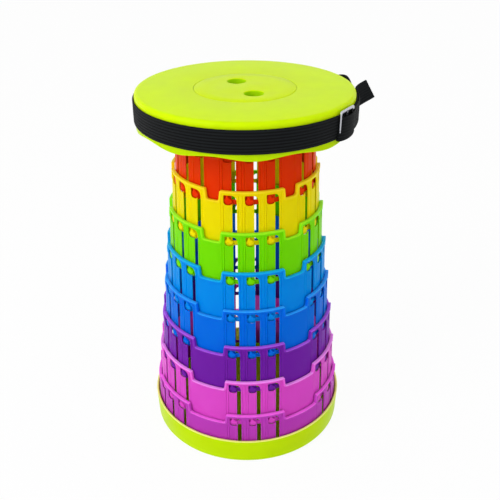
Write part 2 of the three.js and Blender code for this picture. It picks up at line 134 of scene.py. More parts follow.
def linear(hexColour):
    channels = [int(hexColour[i:i + 2], 16) / 255 for i in (0, 2, 4)]
    return (*[c / 12.92 if c <= 0.04045 else ((c + 0.055) / 1.055) ** 2.4 for c in channels], 1)


def shaded(hexColour, shares):
    return [(*[min(c * share, 1) for c in linear(hexColour)[:3]], 1) for share in shares]


# Moulded plastic: faint clouds in the colour, flow marks in the gloss, a fine spark-eroded grain, and a
# glow through thin walls

plastic = {
    "cloud": 28, "cloudDetail": 3, "cloudRough": 0.6, "tones": (0.965, 1.02),
    "grain": 2600, "grainDetail": 2, "bump": 0.05, "bumpDepth": 0.0004,
    "rough": (0.3, 0.42), "rimRough": (0.26, 0.36), "ior": 1.49, "specular": 0.05,
    "glow": 0.8, "glowReach": (1, 1, 1), "glowDepth": 0.004,
}


def plasticMaterial(name, hexColour, rough):
    finish, tree, shader = newMaterial(name)
    spot = addNode(tree, "ShaderNodeTexCoord").outputs["Object"]
    cloud = addNoise(tree, spot, plastic["cloud"], plastic["cloudDetail"], plastic["cloudRough"])
    addTone(tree, shader, cloud, shaded(hexColour, plastic["tones"]))
    addGloss(tree, shader, cloud, rough)
    speck = addNoise(tree, spot, plastic["grain"], plastic["grainDetail"])
    addBump(tree, shader, speck, plastic["bump"], plastic["bumpDepth"])
    setSockets(shader, {
        "IOR": plastic["ior"], "Specular IOR Level": plastic["specular"],
        "Subsurface Weight": plastic["glow"], "Subsurface Radius": plastic["glowReach"],
        "Subsurface Scale": plastic["glowDepth"],
    })
    return finish


plasticColours = {  # wall, a lighter colour painted on the top of the bead as a highlight, and a third colour: a softer painted highlight on the bead's lower part and sides, painted shade on the seat and cap
    "red": ("ea3400", "f04a18", "ea3400"),
    "yellow": ("fadc00", "ffdc20", "fcd814"),
    "green": ("74de00", "98f022", "8ae812"),
    "sky": ("0088ec", "16a8f2", "0c98ee"),
    "blue": ("006ae2", "2c9cfc", "0470e6"),
    "purple": ("701ca2", "aa58da", "8028b4"),
    "pink": ("de4ac8", "ff8ef8", "ee64da"),
    "violet": ("ba3cb8", "ee66e2", "c648c4"),
    "lime": ("cef000", None, "bcde00"),  # the seat, and a darker colour painted as shade on its skirt below the strap
    "base": ("c2e600", "f2fa84", None),  # the tray, and a lighter colour painted on its lip as a highlight
    "cap": ("d0f400", None, "b8eb08"),  # the cap, and a darker colour painted as shade on the walls of its finger holes
}

finishes = {}
# the second and third colours make materials that paint highlight and shade into the plastic's colour
for word, shades in plasticColours.items():
    for part, hexColour in zip(("", "Rim", "Side"), shades):
        if hexColour:
            rough = plastic["rimRough" if part == "Rim" else "rough"]
            finishes[word + part] = plasticMaterial(f"{word}{part}Plastic", hexColour, rough)


webbing = {
    "across": 330, "acrossWarp": 0.4, "along": 250, "alongWarp": 0.3, "detail": 1,
    "ribs": 96.7,  # a rib every 3.25 mm across, its grooves painted dark as shade
    "yarnShare": 0.6, "plainShare": 0.4, "tones": ("010203", "1a1e21"), "toneAt": (0.05, 0.75),
    "bump": 0.55, "bumpDepth": 0.0005, "rough": 0.72, "specular": 0.12, "sheen": 0.02, "sheenRough": 0.4,
}


def addWave(tree, spot, bands, scale, warp=0.0, detail=2.0):
    sockets = {"Scale": scale, "Distortion": warp, "Detail": detail}
    wave = addNode(tree, "ShaderNodeTexWave", sockets, bands_direction=bands)
    tree.links.new(spot, wave.inputs["Vector"])
    return wave.outputs["Fac"]


def multiply(tree, first, second):
    node = addNode(tree, "ShaderNodeMath", operation="MULTIPLY")
    tree.links.new(first, node.inputs[0])
    tree.links.new(second, node.inputs[1])
    return node.outputs["Value"]


def webbingMaterial():
    finish, tree, shader = newMaterial("webbing")
    spot = addNode(tree, "ShaderNodeUVMap", uv_map="weave").outputs["UV"]
    across = addWave(tree, spot, "X", webbing["across"], webbing["acrossWarp"], webbing["detail"])
    along = addWave(tree, spot, "Y", webbing["along"], webbing["alongWarp"], webbing["detail"])
    yarn = multiply(tree, across, along)
    sockets = {1: webbing["yarnShare"], 2: webbing["plainShare"]}
    lit = addNode(tree, "ShaderNodeMath", sockets, operation="MULTIPLY_ADD")
    tree.links.new(yarn, lit.inputs[0])
    # the rib wave darkens the colour in the grooves between ribs as painted shade
    threadAndGrooveShade = multiply(tree, lit.outputs["Value"], addWave(tree, spot, "Y", webbing["ribs"]))
    addTone(tree, shader, threadAndGrooveShade, [linear(tone) for tone in webbing["tones"]], webbing["toneAt"])
    addBump(tree, shader, yarn, webbing["bump"], webbing["bumpDepth"])
    setSockets(shader, {
        "Roughness": webbing["rough"], "Specular IOR Level": webbing["specular"],
        "Sheen Weight": webbing["sheen"], "Sheen Roughness": webbing["sheenRough"],
    })
    return finish


metal = {
    "brush": 900, "detail": 3, "tones": (0.85, 1.08),
    "buckle": ("c4c5cc", (0.2, 0.34), (1, 1, 0.08)),  # colour, roughness, stretch of the brushing
    "screw": ("a3a6ae", (0.3, 0.45), (1, 1, 1)),
}


def metalMaterial(name, hexColour, rough, stretch):
    finish, tree, shader = newMaterial(name)
    spot = addNode(tree, "ShaderNodeTexCoord")
    along = addNode(tree, "ShaderNodeMapping", {"Scale": stretch})
    tree.links.new(spot.outputs["Object"], along.inputs["Vector"])
    brush = addNoise(tree, along.outputs["Vector"], metal["brush"], metal["detail"])
    addTone(tree, shader, brush, shaded(hexColour, metal["tones"]))
    addGloss(tree, shader, brush, rough)
    setSockets(shader, {"Metallic": 1})
    return finish


rubber = {
    "speck": 1400, "detail": 3, "tones": ("1c1c1e", "2e2e31"),
    "bump": 0.3, "bumpDepth": 0.0003, "rough": 0.85,
}


def rubberMaterial():
    finish, tree, shader = newMaterial("footRubber")
    spot = addNode(tree, "ShaderNodeTexCoord").outputs["Object"]
    speck = addNoise(tree, spot, rubber["speck"], rubber["detail"])
    addTone(tree, shader, speck, [linear(tone) for tone in rubber["tones"]])
    addBump(tree, shader, speck, rubber["bump"], rubber["bumpDepth"])
    setSockets(shader, {"Roughness": rubber["rough"]})
    return finish


finishes["webbing"] = webbingMaterial()
finishes["buckle"] = metalMaterial("buckleMetal", *metal["buckle"])
finishes["screw"] = metalMaterial("zincSteel", *metal["screw"])
finishes["rubber"] = rubberMaterial()
print("materials made:", len(finishes))


# Patterns: points such as (along, up, radius) in millimetres, faces, a finish number per face, and on
# webbing the way along and across it for each point

def newPattern():
    return {"points": [], "faces": [], "finishes": [], "weave": []}


def addLoop(pattern, points):
    start = len(pattern["points"])
    pattern["points"] += points
    return list(range(start, start + len(points)))


def addFaces(pattern, faces, finish=0):
    pattern["faces"] += faces
    pattern["finishes"] += [finish] * len(faces)


def addBand(pattern, near, far, closed=True, finish=0):
    count = len(near)
    pairs = [(i, (i + 1) % count) for i in range(count if closed else count - 1)]
    addFaces(pattern, [(near[i], near[k], far[k], far[i]) for i, k in pairs], finish)


def addBands(pattern, loops, closed=True):
    for near, far in zip(loops, loops[1:]):
        addBand(pattern, near, far, closed)


def within(point, loop):
    inside = False
    for (x1, y1), (x2, y2) in zip(loop, loop[1:] + loop[:1]):
        if (y1 > point[1]) != (y2 > point[1]) and point[0] < (x2 - x1) * (point[1] - y1) / (y2 - y1) + x1:
            inside = not inside
    return inside


def addSkin(pattern, outer, holes, inside, radiusAt, facing=1):
    # outer and holes are loops of point numbers, inside is a list of (along, up)
    loops = [outer, *holes]
    flat = [pattern["points"][i][:2] for loop in loops for i in loop] + inside
    edges = []
    owner = []
    for number, loop in enumerate(loops):
        start = len(owner)
        owner += [number] * len(loop)
        edges += [(start + i, start + (i + 1) % len(loop)) for i in range(len(loop))]
    numbers = [i for loop in loops for i in loop]
    numbers += addLoop(pattern, [(s, z, radiusAt(s, z)) for s, z in inside])
    outlines = [[pattern["points"][i][:2] for i in loop] for loop in loops]
    triangles, sources = delaunay_2d_cdt([Vector(p) for p in flat], edges, [], 0, skinGap)[2:4]
    faces = []
    for corners in triangles:
        old = [sources[i][0] for i in corners]
        owners = {owner[i] if i < len(owner) else -1 for i in old}
        if len(owners) == 1 and -1 not in owners:
            # its corners are all on one loop, so it may lie in a hole or a notch
            middle = [sum(flat[i][k] for i in old) / 3 for k in (0, 1)]
            which = owners.pop()
            if within(middle, outlines[which]) != (which == 0):
                continue
        faces.append(tuple(numbers[i] for i in old)[::facing])
    addFaces(pattern, faces)


def buildMesh(name, patterns, place, materials, sharp=32):
    # patterns are (pattern, shift) pairs, and place turns a shifted point into metres
    mesh = bpy.data.meshes.new(name)
    points, faces, marks = [], [], []
    for pattern, shift in patterns:
        start = len(points)
        points += [place(point, shift) for point in pattern["points"]]
        faces += [tuple(start + i for i in face) for face in pattern["faces"]]
        marks += pattern["finishes"]
    mesh.from_pydata(points, [], faces)
    for face, mark in zip(mesh.polygons, marks):
        face.material_index = mark
    weave = [spot for pattern, _ in patterns for spot in pattern["weave"]]
    if weave:
        layer = mesh.uv_layers.new(name="weave")
        for corner in mesh.loops:
            layer.data[corner.index].uv = [side * mm for side in weave[corner.vertex_index]]
    shape = bmesh.new()
    shape.from_mesh(mesh)
    bmesh.ops.remove_doubles(shape, verts=shape.verts, dist=weldGap)
    bmesh.ops.recalc_face_normals(shape, faces=shape.faces)
    shape.to_mesh(mesh)
    shape.free()
    mesh.shade_smooth()
    mesh.set_sharp_from_angle(angle=math.radians(sharp))
    for material in materials:
        mesh.materials.append(finishes[material])
    piece = bpy.data.objects.new(name, mesh)
    bpy.context.scene.collection.objects.link(piece)
    return piece


def roundAxis(point, turn, radius, lift):
    # (along, up, out) bent round the axis at this radius, from this turn on
    along, up, out = point
    angle = turn + along / radius
    return (out * mm * math.sin(angle), -out * mm * math.cos(angle), (up + lift) * mm)


def acrossFlat(point, turn, lift):
    # (across, up, out) on a flat that faces out at this turn
    across, up, out = point
    return (
        (out * math.sin(turn) + across * math.cos(turn)) * mm,
        (across * math.sin(turn) - out * math.cos(turn)) * mm,
        (up + lift) * mm,
    )


def roundOrFlat(lift):
    # a shift is the drawing's kind and its turn
    def place(point, shift):
        kind, turn = shift
        return roundAxis(point, turn, 1, lift) if kind == "round" else acrossFlat(point, turn, lift)
    return place


def asDrawn(point, lift):
    # (x, y, up)
    return (point[0] * mm, point[1] * mm, (point[2] + lift) * mm)


def groupTurns(offset=0):
    # where the raised groups stand, or the places between them at an offset of a half
    return [groupTurn + (k + offset) * fullTurn / groupCount for k in range(groupCount)]


def bend(start, corner, end, count):
    # a soft corner between two straight stretches
    return [
        tuple((1 - t) ** 2 * a + 2 * t * (1 - t) * c + t * t * b for a, c, b in zip(start, corner, end))
        for t in (i / count for i in range(count + 1))
    ]


def between(start, end, count):
    # the points that cut a line into this many stretches
    return [tuple(a + (b - a) * i / count for a, b in zip(start, end)) for i in range(1, count)]


def straight(start, end, step):
    return between(start, end, max(1, round(math.dist(start, end) / step)))


def toward(start, end, reach):
    # this far from start on the way to end, and at most half the way
    length = math.dist(start, end)
    return tuple(a + (b - a) * min(reach / length, 0.5) for a, b in zip(start, end))


def rounded(corners, steps):
    # corners are (out, up, cut, finish), and a corner is rounded over its cut
    points = []
    for i, (out, up, reach, finish) in enumerate(corners):
        if not reach:
            points.append((out, up, finish))
            continue
        before, after = corners[i - 1][:2], corners[(i + 1) % len(corners)][:2]
        turn = bend(toward((out, up), before, reach), (out, up), toward((out, up), after, reach), steps)
        points += [(*point, finish) for point in turn]
    return points


def addTurned(pattern, profile, columns, liftAt=lambda turn, up: 0, closed=False):
    # a profile of (out, up, finish) turned round the axis, as (angle, up, out)
    loops = []
    for turn in [fullTurn * i / columns for i in range(columns)]:
        loops.append(addLoop(pattern, [(turn, up + liftAt(turn, up), out) for out, up, _ in profile]))
    rows = len(profile) if closed else len(profile) - 1
    for i, near in enumerate(loops):
        far = loops[(i + 1) % columns]
        for row in range(rows):
            over = (row + 1) % len(profile)
            addFaces(pattern, [(near[row], far[row], far[over], near[over])], profile[row][2])


def addBlock(pattern, across, up, out):
    # a box over three (low, high) ranges, drawn on a flat
    corners = [(across[0], out[0]), (across[1], out[0]), (across[1], out[1]), (across[0], out[1])]
    low, high = [addLoop(pattern, [(side, level, beyond) for side, beyond in corners]) for level in up]
    addBand(pattern, low, high)
    addFaces(pattern, [tuple(low[::-1]), tuple(high)])


def circle(radius, count, middle=(0, 0)):
    turns = [fullTurn * i / count for i in range(count)]
    return [(middle[0] + radius * math.sin(turn), middle[1] - radius * math.cos(turn)) for turn in turns]


def addPost(pattern, radius, low, high, out, sides, bevel=0.4):
    # an upright round post at this distance from the axis, bevelled below
    rings = [
        addLoop(pattern, [(across, up, out + beyond) for across, beyond in circle(size, sides)])
        for size, up in ((radius - bevel, low), (radius, low + bevel), (radius, high))
    ]
    addBands(pattern, rings)
    addFaces(pattern, [tuple(rings[0][::-1]), tuple(rings[-1])])


# Nested rings

ring = {
    "height": 64.4, "travel": 47.9, "widestRim": 121.6, "rimStep": 5.5, "flare": 1.9, "skin": 1.3,
    "clearance": 0.6, "foot": 7.4, "edgeRound": 0.3,
    "groupWidth": 74.8, "notchDepth": 12.8, "notchLean": 1.5, "notchRound": 3.2, "topRound": 1.7,
    "roundGrowth": 0.4, "leastRound": 0.5, "cornerSteps": 5, "notchSteps": 3, "sideSteps": 4, "topSteps": 18,
    "footStep": 3, "joinStep": 4,  # mm between points
    "beadProud": 1.1, "beadWidth": 2.4, "beadRound": 0.45, "floorBead": 0.75, "paintedHighlightDown": 1.1,
    "beadFoot": (0.1, 0.12), "beadEnd": 0.45, "lipDepth": 3.8, "lipCut": (0.35, 0.4),
}

window = {
    "bays": (-1, 0, 1), "spacing": 24.4, "top": 4.8, "topRound": 1.2,
    "pocketPlace": -4, "pocketWidth": 9.4, "pocketFloor": 16.6, "floorRound": 4.4, "floorLow": 0.3,
    "hornRise": 1.9, "hornRound": 0.3, "slotPlace": 4, "slotWidth": 5, "cornerAcross": 6.4, "cornerDown": 8.6,
    "bar": 5.6, "barRound": 0.8,
    "topSteps": 4, "floorSteps": 7, "hornSteps": (4, 2), "barSteps": 3, "cornerSteps": 8,
    "pocketStep": 3, "slotStep": 4,  # mm between points
}

panel = {
    "lines": (-11.6, -8.9, 8.6), "lineDepth": 0.65, "lineHalf": 0.45, "stepDepth": 0.25,
    "grid": 3.6, "rowFirst": 1.2, "rowStep": 4.1, "rows": 15, "rowTop": 4,
    "lineGap": 0.9, "lineRoom": 0.45, "gridRoom": 1.3, "joinRoom": 0.01,
}

peg = {
    "radius": 4.8, "place": -4, "lift": -0.6, "step": math.radians(18), "steps": 6,
    "waist": 2.6, "waistLeft": 0.9, "waistRight": 0.4, "finRise": 11.2, "finHalf": 0.9, "finShift": 1.2,
    "tipDown": 0.8, "finSteps": 4, "clearance": 0.2, "root": 0.5,
    "dome": [(1, 1), (0.95, 0.5), (0.82, 0.2), (0.5, 0.04)],  # share of the outline, and how far back
    "shoe": (-5.2, 5.2), "shoeRise": (-1, 2.4), "shoeBack": 1,
}


def rimRadius(level):
    return ring["widestRim"] - (len(ringNames) - 1 - level) * ring["rimStep"]


def ringBottom(level):
    return ring["foot"] + (len(ringNames) - 1 - level) * ring["travel"]


def wallRadius(rim, up):
    return rim - ring["beadProud"] + ring["flare"] * (ring["height"] - up) / ring["height"]


def lipRadius(rim):
    return wallRadius(rim - ring["rimStep"], 0) + ring["clearance"]


def halfGroup(rim):
    return rim * math.pi / groupCount


def rimPath(rim, inset):
    # the wall's upper edge over one sixth of the ring, from the middle of one notch to the next
    top = ring["height"] - inset
    floor = ring["height"] - ring["notchDepth"] - inset * ring["floorBead"]

    def side(up):
        lean = ring["notchLean"] * (ring["height"] - up) / ring["notchDepth"]
        return -ring["groupWidth"] / 2 + inset - lean

    high, low, start = (side(top), top), (side(floor), floor), (-halfGroup(rim), floor)
    notchCut = ring["notchRound"] + inset * ring["roundGrowth"]
    topCut = max(ring["topRound"] - inset * ring["roundGrowth"], ring["leastRound"])
    steps = ring["cornerSteps"]
    left = bend(toward(low, start, notchCut), low, toward(low, high, notchCut), steps)
    crown = bend(toward(high, low, topCut), high, toward(high, (0, top), topCut), steps)
    path = [start, *between(start, left[0], ring["notchSteps"]), *left]
    path += [*between(left[-1], crown[0], ring["sideSteps"]), *crown]
    across = ring["topSteps"]
    middle = [(crown[-1][0] * (1 - 2 * i / across), top) for i in range(1, across)]
    return path + middle + [(-s, z) for s, z in reversed(path)]


def windowLoop(middle, grow):
    # down the pocket's left side, along its floor to the horn, and round the slot
    left = window["pocketPlace"] - window["pocketWidth"] / 2 - grow
    slotLeft = window["slotPlace"] - window["slotWidth"] / 2 - grow
    right = window["slotPlace"] + window["slotWidth"] / 2 + grow
    top = ring["height"] - window["top"] + grow
    floor = ring["height"] - window["pocketFloor"] - grow
    bar = window["bar"] - grow
    low = window["pocketPlace"] + window["floorLow"]
    high, rise, hook, soft = window["topRound"], window["floorRound"], window["hornRound"], window["barRound"]
    horn = (slotLeft - hook, floor + window["hornRise"])
    tip, under = (slotLeft, horn[1] + hook), (slotLeft, horn[1] - 2 * hook)
    corner = (right, top - window["cornerDown"])
    points = bend((left + high, top), (left, top), (left, top - high), window["topSteps"])
    points += straight(points[-1], (left, floor + rise), window["pocketStep"])
    points += bend((left, floor + rise), (left, floor), (low, floor), window["floorSteps"])
    points += bend((low, floor), (slotLeft - 2 * hook, floor), horn, window["hornSteps"][0])[1:]
    points += bend(horn, tip, under, window["hornSteps"][1])[1:]
    points += straight(under, (slotLeft, bar + soft), window["slotStep"])
    points += bend((slotLeft, bar + soft), (slotLeft, bar), (slotLeft + soft, bar), window["barSteps"])
    points += bend((right - soft, bar), (right, bar), (right, bar + soft), window["barSteps"])
    points += straight((right, bar + soft), corner, window["slotStep"])
    points += bend(corner, (right, top), (right - window["cornerAcross"], top), window["cornerSteps"])
    return [(middle + s, z) for s, z in points]


def panelDepth(s, up):
    # a panel steps back under each pocket, and moulded lines run beside it and the slot
    if not window["bar"] < up < ring["height"] - window["top"]:
        return 0
    for bay in window["bays"]:
        place = s - bay * window["spacing"]
        depth = 0
        if panel["lines"][1] <= place <= window["slotPlace"] and up < ring["height"] - window["pocketFloor"]:
            depth = panel["stepDepth"]
        near = min(abs(place - line) for line in panel["lines"])
        depth += panel["lineDepth"] * max(1 - near / panel["lineHalf"], 0)
        if depth:
            return depth
    return 0


def gridPlaces(rim, outline, holes, lined):
    # columns of points inside the wall, with three close together on each moulded line
    half = halfGroup(rim)
    special = [
        bay * window["spacing"] + line + side * panel["lineHalf"]
        for bay in window["bays"] for line in panel["lines"] for side in (-1, 0, 1) if lined
    ]
    count = round(2 * half / panel["grid"])
    columns = [-half + 2 * half * i / count for i in range(count + 1)]
    columns = [s for s in columns if all(abs(s - line) > panel["lineGap"] for line in special)] + special
    rows = [ring["edgeRound"] + panel["rowFirst"] + panel["rowStep"] * i for i in range(panel["rows"])]
    found = []
    for s in columns:
        least = panel["lineRoom"] if s in special else panel["gridRoom"]
        for up in rows:
            if abs(abs(s) - half) < panel["joinRoom"] or up > ring["height"] - panel["rowTop"]:
                continue
            if not within((s, up), outline) or any(within((s, up), hole) for hole in holes):
                continue
            if min(math.dist((s, up), p) for loop in (outline, *holes) for p in loop) > least:
                found.append((s, up))
    return found


def addRim(pattern, rim):
    # the wall's upper edge, from its inner face over the lip and the bead to its outer face
    lip, soft, wide = lipRadius(rim), ring["beadRound"], ring["beadWidth"]
    slant = soft * facetShare
    lipInset, lipOut = ring["lipCut"]
    footInset, footOut = ring["beadFoot"]
    sections = [  # inset, radius and finish: wall 0, painted highlight on the top 1, softer painted highlight on the lower part and sides 2
        (ring["lipDepth"], lambda up: wallRadius(rim, up) - ring["skin"], 0),
        (lipInset, lambda up: lip, 0),
        (0, lambda up: lip + lipOut, 0),
        (0, lambda up: rim - soft, 1),
        (slant, lambda up: rim - slant, 1),
        (soft, lambda up: rim, 1),
        (ring["paintedHighlightDown"], lambda up: rim, 1),
        (wide - soft, lambda up: rim, 2),
        (wide - slant, lambda up: rim - slant, 2),
        (wide, lambda up: rim - soft, 2),
        (wide + footInset, lambda up: wallRadius(rim, up) + footOut, 2),
        (wide + ring["beadEnd"], lambda up: wallRadius(rim, up), 0),
    ]
    loops = [
        addLoop(pattern, [(s, up, radius(up)) for s, up in rimPath(rim, inset)])
        for inset, radius, _ in sections
    ]
    path = rimPath(rim, 0)
    steep = [abs(after[1] - before[1]) > abs(after[0] - before[0]) for before, after in zip(path, path[1:])]
    for near, far, (_, _, finish) in zip(loops, loops[1:], sections[1:]):
        addBand(pattern, near, far, False)
        # on the steep sides of the notches the painted highlight is the softer one, finish 2
        pattern["finishes"][-len(steep):] = [2 if side and finish else finish for side in steep]
    return loops[0], loops[-1]


def wallPattern(rim):
    # one sixth of a ring, drawn as (along, up, radius)
    pattern = newPattern()
    half, skin, edge = halfGroup(rim), ring["skin"], ring["edgeRound"]
    rimBack, rimFront = addRim(pattern, rim)
    foot = [(-half, edge), *straight((-half, edge), (half, edge), ring["footStep"]), (half, edge)]
    footLoops = [
        addLoop(pattern, [(s, up + lift, radius) for s, up in foot])
        for lift, radius in (
            (0, wallRadius(rim, edge)), (-edge, wallRadius(rim, 0) - edge),
            (-edge, wallRadius(rim, 0) - skin + edge), (0, wallRadius(rim, edge) - skin),
        )
    ]
    addBands(pattern, footLoops, False)
    fronts, backs = [], []
    for bay in window["bays"]:
        rims = [
            addLoop(pattern, [
                (s, up, wallRadius(rim, up) - depth) for s, up in windowLoop(bay * window["spacing"], grow)
            ])
            for grow, depth in ((edge, 0), (0, edge), (0, skin - edge), (edge, skin))
        ]
        addBands(pattern, rims)
        fronts.append(rims[0])
        backs.append(rims[-1])

    for topLoop, footLoop, holes, depth, facing in (
        (rimFront, footLoops[0], fronts, 0, 1), (rimBack, footLoops[-1], backs, skin, -1),
    ):
        lowLeft, highLeft = pattern["points"][footLoop[0]], pattern["points"][topLoop[0]]
        rise = straight(lowLeft[:2], highLeft[:2], ring["joinStep"])
        sides = [
            addLoop(pattern, [(sign * half, up, wallRadius(rim, up) - depth) for _, up in rise])
            for sign in (-1, 1)
        ]
        outer = footLoop + sides[1] + topLoop[::-1] + sides[0][::-1]
        flatOuter = [pattern["points"][i][:2] for i in outer]
        flatHoles = [[pattern["points"][i][:2] for i in hole] for hole in holes]
        lined = facing == 1
        addSkin(
            pattern, outer, holes, gridPlaces(rim, flatOuter, flatHoles, lined),
            lambda s, up: wallRadius(rim, up) - depth - (panelDepth(s, up) if lined else 0), facing,
        )
    return pattern


def pegPattern(rim):
    # round below, with a leaning fin above, a domed front and a shoe behind it
    pattern = newPattern()
    radius, low = peg["radius"], peg["lift"]
    finRight, finLeft = peg["finHalf"] - peg["finShift"], -peg["finHalf"] - peg["finShift"]
    waist, shoulder = low + radius + peg["waist"], peg["finRise"] - peg["tipDown"]
    swing = [peg["step"] * i for i in range(peg["steps"] + 1)]
    right = [(radius * math.sin(turn), low + radius - radius * math.cos(turn)) for turn in swing]
    left = [(-s, up) for s, up in right[1:]]
    rightWaist = (peg["finHalf"] + peg["waistRight"], waist)
    leftWaist = (-peg["finHalf"] - peg["waistLeft"], waist)
    right += bend(right[-1], rightWaist, (finRight, shoulder), peg["finSteps"])[1:]
    left += bend(left[-1], leftWaist, (finLeft, shoulder), peg["finSteps"])[1:]
    outline = right + [(-peg["finShift"], peg["finRise"])] + left[::-1]
    middle = low + radius
    pocketRadius = wallRadius(rim + ring["rimStep"], ring["height"] - window["pocketFloor"])
    reach = pocketRadius - ring["skin"] - peg["clearance"]
    root = wallRadius(rim, 0) - peg["root"]
    layers = [(1, root)] + [(share, reach - back) for share, back in peg["dome"]]
    loops = [
        addLoop(pattern, [(s * share, middle + (up - middle) * share, out) for s, up in outline])
        for share, out in layers
    ]
    addBands(pattern, loops)
    hub = addLoop(pattern, [(0, middle, reach)])[0]
    last = loops[-1]
    addFaces(pattern, [(last[i], last[(i + 1) % len(last)], hub) for i in range(len(last))])
    addFaces(pattern, [tuple(loops[0])[::-1]])
    addBlock(pattern, peg["shoe"], peg["shoeRise"], (root, reach - peg["shoeBack"]))
    return pattern


def addPegs(name, word, rim, body, lift):
    pattern = pegPattern(rim)
    nextRim = rim + ring["rimStep"]
    places = [(bay * window["spacing"] + peg["place"]) / nextRim for bay in window["bays"]]
    shifts = [(pattern, turn + place) for turn in groupTurns() for place in places]
    pegs = buildMesh(name, shifts, lambda point, turn: roundAxis(point, turn, rim, lift), [word])
    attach(pegs, body)


def makeRing(level, word):
    rim = rimRadius(level)
    bottom = ringBottom(level)
    body = "foundation" if word == "violet" else f"{word}_stage"
    pattern = wallPattern(rim)
    wall = buildMesh(
        f"{word}_ring_wall", [(pattern, turn) for turn in groupTurns()],
        # the second material paints a highlight on the bead's top, the third a softer painted highlight on
        # its lower part and sides
        lambda point, turn: roundAxis(point, turn, rim, bottom), [word, f"{word}Rim", f"{word}Side"],
    )
    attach(wall, body)
    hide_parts(f"{word}_ring")
    if word != "violet":
        addPegs(f"{word}_ring_pegs", word, rim, body, bottom)
    print("ring made:", word, len(wall.data.polygons), "faces")


for level, word in enumerate(ringNames):
    makeRing(level, word)


# Seat shell: plate, skirt with a waved edge, finger cup, ribs and screw bosses

seat = {
    "top": 450, "radius": 125, "edge": 5, "plate": 3, "plateRound": 2, "wall": 2.6, "skirt": 39,
    "lipRound": 0.9, "wave": 2, "waveFrom": 24, "waveFull": 38, "lobes": 9, "lobeTurn": math.radians(4.2),
    "columns": 216, "roundSteps": 7,
    "capOpening": 58.5, "openingRound": 0.5, "ledge": 2.4,
    "cup": 55.9, "cupDepth": 20, "cupRound": 2, "cupWall": 2, "cupDraft": 1, "cupEdge": 1,
    "ribThickness": 1.6, "ribDepth": 10, "ribEnd": 73.6, "root": 0.5,
    "bossRadius": 4, "bossHeight": 7.7, "bossSides": 28, "screwPlace": 67.5,
}


def seatWave(angle, up):
    share = min(max((-up - seat["waveFrom"]) / (seat["waveFull"] - seat["waveFrom"]), 0), 1)
    return -seat["wave"] * share * math.cos(seat["lobes"] * (angle - seat["lobeTurn"]))


def makeSeat():
    outside, inside = seat["radius"], seat["radius"] - seat["wall"]
    cup, cupOuter = seat["cup"], seat["cup"] + seat["cupWall"]
    cupFloor, cupUnder = -seat["cupDepth"], -seat["cupDepth"] - seat["cupWall"]
    ledge, underside, hem, bandEnd = -seat["ledge"], -seat["plate"], -seat["skirt"], -seat["waveFrom"]
    shell = newPattern()
    profile = rounded([
        (0, cupFloor, 0, 0), (cup, cupFloor, seat["cupRound"], 0), (cup, ledge, 0, 0),
        (seat["capOpening"], ledge, 0, 0), (seat["capOpening"], 0, seat["openingRound"], 0),
        # finish 1 from the band's end down round the hem is the skirt's darker painted shade
        (outside, 0, seat["edge"], 0), (outside, bandEnd, 0, 1), (outside, hem, seat["lipRound"], 1),
        (inside, hem, seat["lipRound"], 0), (inside, bandEnd, 0, 0),
        (inside, underside, seat["plateRound"], 0), (cupOuter + seat["cupDraft"], underside, 0, 0),
        (cupOuter, cupUnder, seat["cupEdge"], 0), (0, cupUnder, 0, 0),
    ], seat["roundSteps"])
    addTurned(shell, profile, seat["columns"], seatWave)
    root = underside + seat["root"]
    rib = newPattern()
    addBlock(
        rib, (-seat["ribThickness"] / 2, seat["ribThickness"] / 2), (underside - seat["ribDepth"], root),
        (cupOuter - seat["root"], seat["ribEnd"]),
    )
    boss = newPattern()
    bossEnd = underside - seat["bossHeight"]
    addPost(boss, seat["bossRadius"], bossEnd, root, seat["screwPlace"], seat["bossSides"])
    parts = [(shell, ("round", 0))]
    parts += [(rib, ("flat", turn)) for turn in groupTurns()]
    parts += [(boss, ("flat", turn)) for turn in groupTurns(0.5)]
    # the second material is the darker colour painted as shade on the skirt
    made = buildMesh("seat_shell_body", parts, roundOrFlat(seat["top"]), ["lime", "limeSide"])
    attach(made, "seat")
    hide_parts("seat_shell")


cap = {
    "radius": 58, "plate": 2.1, "round": 0.4, "roundMiddle": 0.15, "columns": 144,
    "gridRadius": 44, "gridCount": 48, "collar": 55.6, "collarWall": 2, "collarDepth": 7,
    "hole": 11.2, "holePlace": 26.8, "holeTurn": math.radians(21.2), "holeRound": 0.9, "holeDepth": 11,
    "holeWall": 1.6, "holeColumns": 56, "roundSteps": 4,
}


def addFingerHole(pattern, turn, low):
    # a rounded hole with a short collar under it, from the cap's top to its lower face
    middle = (cap["holePlace"] * math.sin(turn), -cap["holePlace"] * math.cos(turn))
    hole, soft, collar, deep = cap["hole"], cap["holeRound"], cap["hole"] + cap["holeWall"], -cap["holeDepth"]
    steps = bend((hole + soft, 0), (hole, 0), (hole, -soft), cap["roundSteps"])
    loops = [
        addLoop(pattern, [(x, y, up) for x, y in circle(radius, cap["holeColumns"], middle)])
        for radius, up in steps + [(hole, deep), (collar, deep), (collar, low)]
    ]
    # the hole's wall below its rounding takes finish 1, a darker colour painted as shade
    for i, (near, far) in enumerate(zip(loops, loops[1:])):
        addBand(pattern, near, far, finish=1 if i == cap["roundSteps"] else 0)
    return loops[0], loops[-1]


